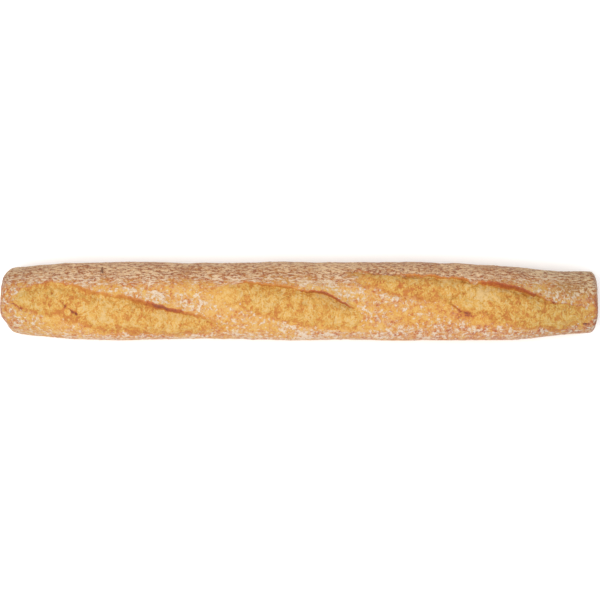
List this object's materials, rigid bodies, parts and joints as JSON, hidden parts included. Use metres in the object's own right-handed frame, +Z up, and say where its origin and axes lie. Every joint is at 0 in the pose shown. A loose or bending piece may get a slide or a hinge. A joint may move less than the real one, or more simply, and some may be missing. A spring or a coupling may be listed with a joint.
{
  "type": "baguette",
  "caption": "Long crusty bread loaf lying on its flat base, with blunt rounded ends and diagonal opened slashes along its floury top.",
  "frame": {"origin": "centre of the loaf's length and width, on the plane of its flat base", "axes": "+X along the loaf's length, +Z up from the flat base to the slashed crown, +Y to the side that the slashes' raised lips grow from"},
  "size_m": [0.54, 0.0714, 0.0549],
  "materials": {
    "crust": null
  },
  "bodies": {
    "root": {"loaf": "crust"}
  },
  "joints": []
}
